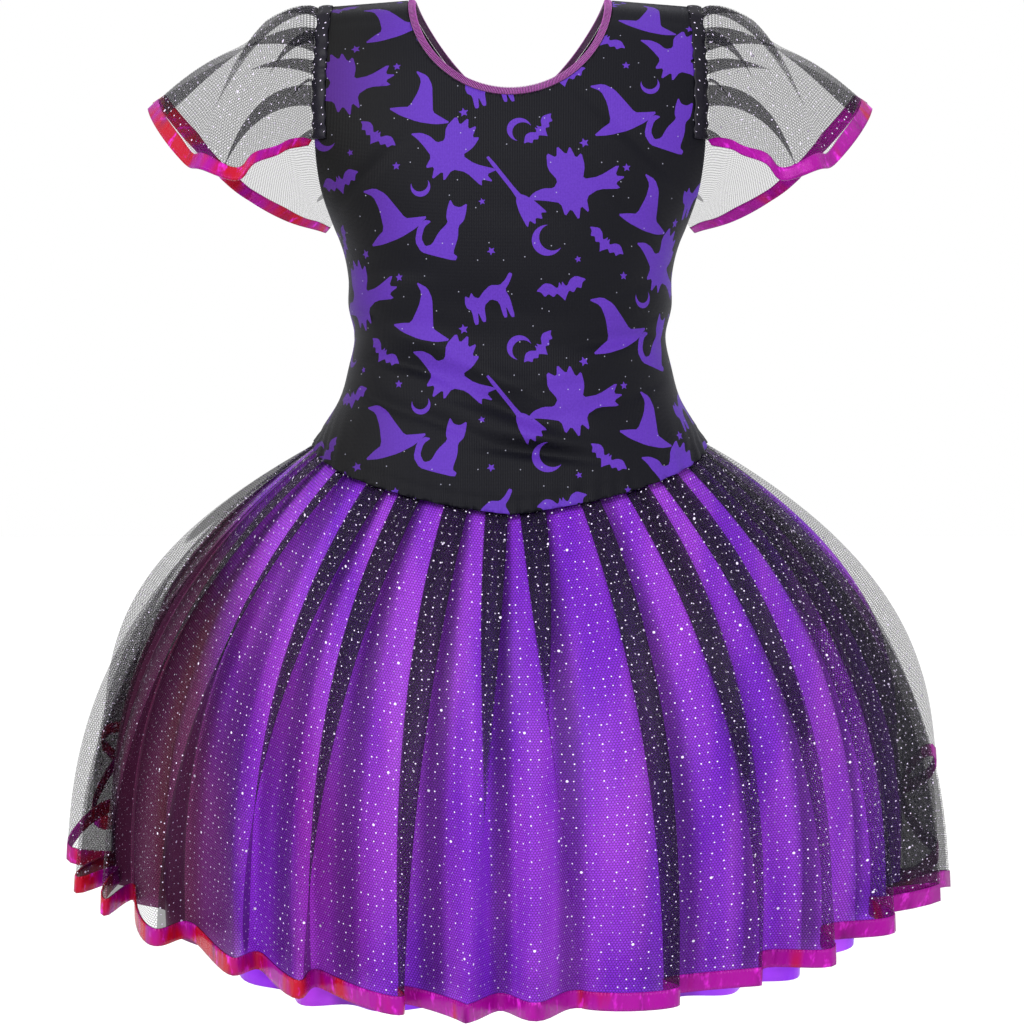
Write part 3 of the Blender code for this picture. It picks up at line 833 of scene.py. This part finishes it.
def build_neck_edge(half, back, materials):
    """The turned edge of the knit, with overlock stitches wrapped over it."""
    steps = 60
    outer, inner = neck_line(back, steps, NECK_EDGE_WIDTH), neck_line(back, steps, 0.0)
    rows = np.stack([inner + (outer - inner) * share for share in np.linspace(0, 1, 5)])
    across = np.tile(np.linspace(0, 0.25, rows.shape[1]), (5, 1))
    attributes = {"across": across, "down": np.tile(np.linspace(0, 0.004, 5)[:, None], (1, rows.shape[1]))}
    band = grid_mesh(f"{half}_neck_edge", rows, attributes, flip=not back)
    band.data.materials.append(materials["thread_bed"])
    thicken(band, 0.0011)
    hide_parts(f"neck_edge_{half}")
    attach(band, "root")
    add_stitches(half, back, materials)


def add_stitches(half, back, materials):
    """Overlock stitches: a slanted thread over the edge at each pitch."""
    length = 0.20
    count = int(length / STITCH_PITCH)
    outer, inner = neck_line(back, count, NECK_EDGE_WIDTH - 0.0003), neck_line(back, count, -0.0001)
    chest = np.array((0.0, 0.0, -0.12))
    paths = []
    for stitch in range(len(outer) - 1):
        start, end = outer[stitch], inner[stitch + 1]
        out = (start + end) / 2 - chest
        out = out / np.linalg.norm(out) * 0.0007
        under = -out * 1.9
        paths.append(
            [start + under, start + out * 0.4, (start + end) / 2 + out, end + out * 0.4, end + under]
        )
    curve = bpy.data.curves.new(f"{half}_overlock", "CURVE")
    curve.dimensions = "3D"
    curve.bevel_depth = STITCH_RADIUS
    curve.bevel_resolution = 1
    curve.use_fill_caps = True
    for path in paths:
        spline = curve.splines.new("POLY")
        spline.points.add(len(path) - 1)
        for point, place in zip(spline.points, path):
            point.co = (*place, 1)
    piece = bpy.data.objects.new(f"{half}_overlock", curve)
    bpy.context.scene.collection.objects.link(piece)
    curve.materials.append(materials["magenta_thread"])
    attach(piece, "root")


def along_rows(points):
    """How far each point is along its row, from the row's middle: the flat cloth's coordinate across."""
    steps = np.linalg.norm(np.diff(points, axis=1), axis=-1)
    walked = np.concatenate([np.zeros((len(points), 1)), np.cumsum(steps, axis=1)], axis=1)
    return walked - walked[:, walked.shape[1] // 2][:, None]


# Skirt


def uneven(number, seed, low, high):
    """A value that varies from pleat to pleat with no pattern, between two limits."""
    wave = math.sin(number * 12.9898 + seed * 78.233) * 43758.5453
    return low + (high - low) * (wave - math.floor(wave))


def hem_lift(turn):
    """How far the flutes at the sides ride up."""
    total = np.zeros_like(turn)
    for place, width, rise in HEM_LIFTS:
        away = (turn - place + 0.5) % 1.0 - 0.5
        total += rise * np.exp(-((away / width) ** 2))
    return total


def skirt_base(turn, fall):
    """The skirt's even outline and the way out from it; turn 0 is the middle of the front."""
    angle = 2 * math.pi * turn
    back = np.cos(angle) < 0
    own = np.where(back, math.pi - angle, angle)
    own = (own + math.pi) % (2 * math.pi) - math.pi
    tops = [form_point(own, seam_height(own, side), side) for side in (False, True)]
    top = np.where(back[..., None], tops[1], tops[0])
    hem_height = HEM_SIDE_HEIGHT - np.where(back, 0.0, HEM_FRONT_DROP * np.cos(angle) ** 2) + hem_lift(turn)
    depth = np.where(back, HEM_BACK_DEPTH, HEM_FRONT_DEPTH)
    outward = np.stack([np.sin(angle), -np.cos(angle), np.zeros_like(angle)], -1)
    hem = np.stack([np.sin(angle) * HEM_HALF_WIDTH, -np.cos(angle) * depth, hem_height], -1)
    out = 1 - np.maximum(1 - fall, 0) ** SKIRT_DOME
    share = np.stack([out, out, fall], -1)
    return top + (hem - top) * share, outward


def pleat_values(seed, low, high):
    """A value for each pleat, uneven between two limits."""
    return np.array([uneven(number, seed, low, high) for number in range(FIRST_PLEAT, FIRST_PLEAT + 60)])


def front_fold_values(column, seed, low, high):
    """A value for each pleat of the net: in front from the table, and uneven behind."""
    values = pleat_values(seed, low, high)
    start = -PLEATS // 4 - FIRST_PLEAT
    values[start : start + len(FRONT_FOLDS)] = [row[column] for row in FRONT_FOLDS]
    return values


def blended(phase, values):
    """Each pleat's own value at its fold, three quarters of the way through it, blended between folds."""
    number = np.floor(phase - 0.75)
    within = smooth_step(0, 1, phase - 0.75 - number)
    index = number.astype(int) - FIRST_PLEAT
    return values[index] + (values[index + 1] - values[index]) * within


def gathered(half, falls, fold, depths, clearances, columns):
    """Gathered cloth for half the skirt: waves that lean over at the waist until they fold on themselves."""
    start, end = (0.25, 0.75) if half == "back" else (-0.25, 0.25)
    turn = np.linspace(start, end, PLEATS // 2 * columns + 1)[None, :]
    fall = np.asarray(falls, float)
    fall = fall[:, None] if fall.ndim == 1 else fall
    turn, fall = np.broadcast_arrays(turn, fall)
    low = np.maximum(fall, 0)
    lean, reach = fold
    wander = 0.16 * np.sin(turn * 2 * math.pi * 5 + 1.0) + 0.12 * np.sin(turn * 2 * math.pi * 11)
    at_seam = smooth_step(0, 1.5 / PLEATS, np.minimum(turn - start, end - turn))
    phase = turn * PLEATS + wander * at_seam
    wave = -np.cos(2 * math.pi * phase)
    shear = blended(phase, lean) * np.maximum(1 - low / blended(phase, reach), 0) * at_seam
    height = blended(phase, pleat_values(3, 0.7, 1.35))
    depth = depths[0] + (depths[1] * height - depths[0]) * low**0.8
    clearance = clearances[0] + (clearances[1] - clearances[0]) * low
    lean_turn = shear * wave / (PLEATS * 2 * math.pi)
    point, outward = skirt_base(turn + lean_turn, fall)
    point = point + outward * (wave * depth / 2 + depth / 2 - clearance)[..., None]
    slope = 1 + shear * np.sin(2 * math.pi * phase)
    return point, turn, wave, slope


def lining_tuck(turn):
    """How much less of the lining hangs out below the net, from none to all of its extra length."""
    seen = sum(np.exp(-(((turn - place) / width) ** 2)) for place, width in LINING_SEEN)
    return 1 - np.minimum(seen, 1)


def net_falls():
    drop = SEAM_SIDE_HEIGHT - HEM_SIDE_HEIGHT
    share = np.linspace(0, 1, SKIRT_ROWS + 1)
    return drop, share**1.4


def build_skirt(half, back, materials):
    drop, share = net_falls()
    ribbon_start = 1 - RIBBON_WIDTH / drop
    folds = (front_fold_values(0, 2, 2.6, 3.5), front_fold_values(1, 1, 0.6, 2.6))
    net_args = (folds, (0.0030, 0.026), (0.0056, 0.0135))
    falls = np.concatenate([[-0.016, -0.008], share * ribbon_start])
    points, turn, wave, slope = gathered(half, falls, *net_args, PLEAT_COLUMNS)
    across = along_rows(points)
    down = np.broadcast_to(np.asarray(falls)[:, None] * 0.34, across.shape)
    net = grid_mesh(
        f"{half}_net", points, {"across": across, "down": down, "folded": -slope}, flip=True
    )
    net.data.materials.append(materials["glitter_net"])
    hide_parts(f"net_skirt_{half}")
    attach(net, "root")

    ribbon_falls = np.linspace(ribbon_start - 0.002, 1.0, 6)
    points, turn, wave, slope = gathered(half, ribbon_falls, *net_args, PLEAT_COLUMNS // 2)
    across = along_rows(points)
    middle = np.broadcast_to(np.linspace(-1, 1, 6)[:, None], across.shape)
    down = middle * RIBBON_WIDTH / 2
    ribbon = grid_mesh(
        f"{half}_hem_ribbon", points, {"across": across, "down": down, "middle": middle}, flip=True
    )
    ribbon.data.materials.append(materials["magenta_ribbon"])
    thicken(ribbon, 0.0014, offset=0.0)
    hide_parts(f"hem_ribbon_{half}")
    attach(ribbon, "root")

    lining_falls = np.concatenate([[-0.016], np.linspace(0, 1, 61) ** 1.4 * (1 + LINING_EXTRA / drop)])
    turn = np.linspace(-0.25, 0.25, PLEATS // 2 * (PLEAT_COLUMNS // 2) + 1)
    shorter = 1 - LINING_SHORTER * lining_tuck(turn if half == "front" else turn + 0.5) / drop
    lining_falls = lining_falls[:, None] * shorter[None, :]
    creases = (pleat_values(7, 0.2, 1.1), pleat_values(8, 0.4, 0.9))
    points, turn, wave, slope = gathered(
        half, lining_falls, creases, (0.0016, 0.0130), (0.0086, 0.0275), PLEAT_COLUMNS // 2
    )
    across = along_rows(points)
    down = np.broadcast_to(lining_falls * 0.34, across.shape)
    lining = grid_mesh(
        # valley_shade: how deep into a pleat's valley, which the satin's painted shade follows
        f"{half}_lining", points, {"across": across, "down": down, "valley_shade": -wave}, flip=True
    )
    lining.data.materials.append(materials["purple_satin"])
    thicken(lining, 0.0005)
    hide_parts(f"lining_{half}")
    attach(lining, "root")


# Sleeves


def armhole_root(share, inset):
    walked = (SLEEVE_FRONT_END + SLEEVE_BACK_END) * share - SLEEVE_FRONT_END
    height = -np.abs(walked)
    x = form_at(height)["bodice_half_width"] - inset
    sides = [panel_point(x, height, side) for side in (False, True)]
    return np.where((walked > 0)[..., None], sides[1], sides[0])


def sleeve_point(share, down):
    """Points of the right sleeve: share runs along the seam, down runs from there to the hem."""
    gathered_from = share - 0.09 * (1 - down) * np.sin(2 * math.pi * share)
    phase = SLEEVE_PLEATS * gathered_from + 0.10 * np.sin(9 * gathered_from)
    wave = -np.cos(2 * math.pi * phase)
    ends = smooth_step(0, 0.12, share) * smooth_step(0, 0.12, 1 - share)
    lean, reach = (blended(phase, np.array(values)) for values in SLEEVE_FOLDS)
    shear = lean * np.maximum(1 - down / reach, 0) * ends
    leaned = share + shear * wave / (2 * math.pi * SLEEVE_PLEATS)
    root = armhole_root(leaned, 0.0) + np.array((0.0013, 0, 0))
    hem = smooth_table(SLEEVE_HEM, leaned)
    turn = np.clip(math.pi * leaned, 0, math.pi)
    outward = np.stack([0.55 + 0 * turn, -0.75 * np.cos(turn), 0.75 * np.sin(turn)], -1)
    puff = SLEEVE_PUFF * np.sin(math.pi * down**0.65) * np.sin(turn) ** 0.6
    flute = (0.0008 + 0.0042 * down) * np.sin(turn) * wave
    slope = 1 + shear * np.sin(2 * math.pi * phase)
    return root + (hem - root) * down[..., None] + outward * (puff + flute)[..., None], -slope


def ribbon_start(share):
    """How far down the sleeve its ribbon begins, so that the ribbon is as wide all along."""
    root, _ = sleeve_point(share, np.zeros_like(share))
    hem, _ = sleeve_point(share, np.ones_like(share))
    length = np.linalg.norm(hem - root, axis=-1)
    return np.maximum(1 - RIBBON_WIDTH / np.maximum(length, RIBBON_WIDTH), 0)


def build_sleeve(side_name, side, materials):
    share, down = np.meshgrid(np.linspace(1, 0, 421), np.linspace(0, 1, 71))
    points, folded = sleeve_point(share, down * ribbon_start(share))
    points = points * (side, 1, 1)
    attributes = {"across": along_rows(points), "down": down * 0.11 + side, "folded": folded}
    net = grid_mesh(f"sleeve_net_{side_name}", points, attributes, flip=side < 0)
    net.data.materials.append(materials["glitter_net"])
    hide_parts(f"sleeve_{side_name}")
    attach(net, "root")

    share, within = np.meshgrid(np.linspace(1, 0, 301), np.linspace(0, 1, 6))
    start = ribbon_start(share)
    points, _ = sleeve_point(share, start + (1 - start) * within)
    points = points * (side, 1, 1)
    middle = within * 2 - 1
    attributes = {"across": along_rows(points) + side, "down": middle * RIBBON_WIDTH / 2, "middle": middle}
    ribbon = grid_mesh(f"sleeve_hem_{side_name}", points, attributes, flip=side < 0)
    ribbon.data.materials.append(materials["magenta_ribbon"])
    thicken(ribbon, 0.0012, offset=0.0)
    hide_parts(f"sleeve_ribbon_{side_name}")
    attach(ribbon, "root")


def build_band(side_name, side, materials):
    """The folded strip of net over the sleeve's gathered seam."""
    share, within = np.meshgrid(np.linspace(1, 0, 241), np.linspace(0, 1, 9))
    inset = (1 - within) * ARMHOLE_BAND_WIDTH
    points = armhole_root(share, inset)
    ruffle = np.sin(share * 150 + 2 * np.sin(share * 31)) * (0.2 + 0.8 * np.abs(2 * within - 1))
    bulge = 0.0010 + 0.0012 * np.sin(math.pi * within) + 0.0006 * ruffle
    centre = np.array((0.06, 0.0, -0.08))
    out = points - centre
    out = out / np.linalg.norm(out, axis=-1, keepdims=True)
    points = (points + out * bulge[..., None]) * (side, 1, 1)
    attributes = {"across": along_rows(points), "down": within * 0.01, "folded": 0 * share + 1}
    band = grid_mesh(f"armhole_strip_{side_name}", points, attributes, flip=side < 0)
    band.data.materials.append(materials["folded_net"])
    thicken(band, 0.0006)
    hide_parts(f"armhole_band_{side_name}")
    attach(band, "root")


# Studio


def look_at(thing, place, target):
    thing.location = place
    direction = Vector(target) - Vector(place)
    thing.rotation_euler = direction.to_track_quat("-Z", "Y").to_euler()


def add_light(name, place, size, power, colour=(1, 1, 1)):
    light = bpy.data.lights.new(name, "AREA")
    light.size = size
    light.energy = power
    light.color = colour
    holder = bpy.data.objects.new(name, light)
    bpy.context.scene.collection.objects.link(holder)
    look_at(holder, place, (0, 0, -0.3))


def build_studio():
    camera = bpy.data.cameras.new("camera")
    camera.sensor_width = SENSOR_MM
    distance = float(np.linalg.norm(np.array(CAMERA_AIM) - np.array(CAMERA_AT)))
    camera.lens = SENSOR_MM * distance / VIEW_WIDTH
    holder = bpy.data.objects.new("camera", camera)
    bpy.context.scene.collection.objects.link(holder)
    look_at(holder, CAMERA_AT, CAMERA_AIM)
    bpy.context.scene.camera = holder

    world = bpy.data.worlds.new("studio")
    world.use_nodes = True
    world.node_tree.nodes["Background"].inputs["Color"].default_value = (1, 1, 1, 1)
    world.node_tree.nodes["Background"].inputs["Strength"].default_value = 1.0
    bpy.context.scene.world = world
    bpy.context.scene.view_settings.view_transform = "Standard"

    add_light("key", (-1.1, -1.9, 1.3), 1.2, 62)
    add_light("fill", (1.7, -1.7, 0.1), 1.4, 14)

    mesh = bpy.data.meshes.new("floor")
    half, low = FLOOR_HALF_WIDTH, FLOOR_HEIGHT
    corners = [(-half, -half, low), (half, -half, low), (half, half, low), (-half, half, low)]
    mesh.from_pydata(corners, [], [(0, 1, 2, 3)])
    floor = bpy.data.objects.new("floor", mesh)
    bpy.context.scene.collection.objects.link(floor)
    nodes = Nodes("floor")
    nodes.shader.inputs["Base Color"].default_value = (0.90, 0.90, 0.90, 1)
    nodes.shader.inputs["Roughness"].default_value = 0.9
    nodes.shader.inputs["Emission Color"].default_value = (1, 1, 1, 1)
    nodes.shader.inputs["Emission Strength"].default_value = 0.15
    mesh.materials.append(nodes.material)


def main():
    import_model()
    # The third colour of each knit is its painted warm light tint at the left
    materials = {
        "knit": knit_material(
            "knit", (0.0012, 0.0012, 0.0026, 1), (0.0030, 0.0030, 0.0062, 1), (0.0022, 0.0020, 0.0012, 1)
        ),
        "print": knit_material(
            "print", (0.050, 0.012, 0.21, 1), (0.095, 0.030, 0.36, 1), (0.034, 0.005, 0.075, 1)
        ),
        "glitter_net": net_material("glitter_net", False),
        "folded_net": net_material("folded_net", True),
        "purple_satin": satin_material(),
        "magenta_ribbon": ribbon_material(),
        "magenta_thread": thread_material("magenta_thread", (0.13, 0.006, 0.13, 1), (0.36, 0.035, 0.34, 1)),
        "thread_bed": thread_material("thread_bed", (0.030, 0.002, 0.030, 1), (0.075, 0.006, 0.075, 1)),
    }
    for half, back in (("front", False), ("back", True)):
        build_bodice(half, back, materials)
        build_neck_edge(half, back, materials)
        build_skirt(half, back, materials)
    for side_name, side in (("right", 1), ("left", -1)):
        build_sleeve(side_name, side, materials)
        build_band(side_name, side, materials)
    build_studio()


main()
